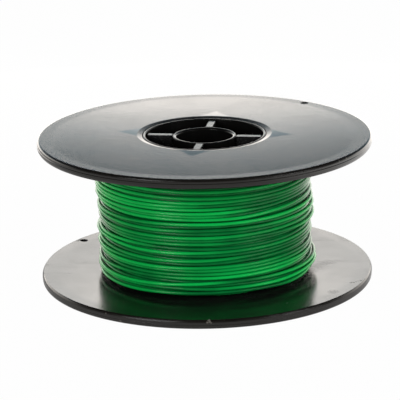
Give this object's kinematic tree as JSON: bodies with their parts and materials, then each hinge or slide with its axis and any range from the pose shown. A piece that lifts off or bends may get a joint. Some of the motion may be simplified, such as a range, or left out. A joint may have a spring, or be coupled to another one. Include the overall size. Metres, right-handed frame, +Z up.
{
  "type": "wire spool",
  "caption": "Reel with flat round moulded flanges and an open webbed hub, wound with thin insulated wire.",
  "frame": {"origin": "centre of the lower flange's raised hub ring, on the plane that the reel stands on", "axes": "+Z up along the reel's axis, -Y towards the viewer of the picture, +X to their right"},
  "size_m": [0.12, 0.12, 0.0535],
  "materials": {
    "black_flange_plastic": "satin moulded",
    "black_hub_plastic": "fine moulded",
    "green_insulation": "smooth extruded",
    "green_insulation_buried": "smooth extruded",
    "tinned_copper": "bright stranded"
  },
  "bodies": {
    "root": {"upper_flange": "black_flange_plastic", "lower_flange": "black_flange_plastic", "drum_barrel": "black_hub_plastic", "arbor_tube": "black_hub_plastic", "hub_web_right": "black_hub_plastic", "hub_web_back": "black_hub_plastic", "hub_web_left": "black_hub_plastic", "hub_web_front": "black_hub_plastic", "wire_inner_layers": "green_insulation_buried", "wire_outer_layer": "green_insulation", "wire_start_tail": "green_insulation", "start_conductor": "tinned_copper"}
  },
  "joints": []
}
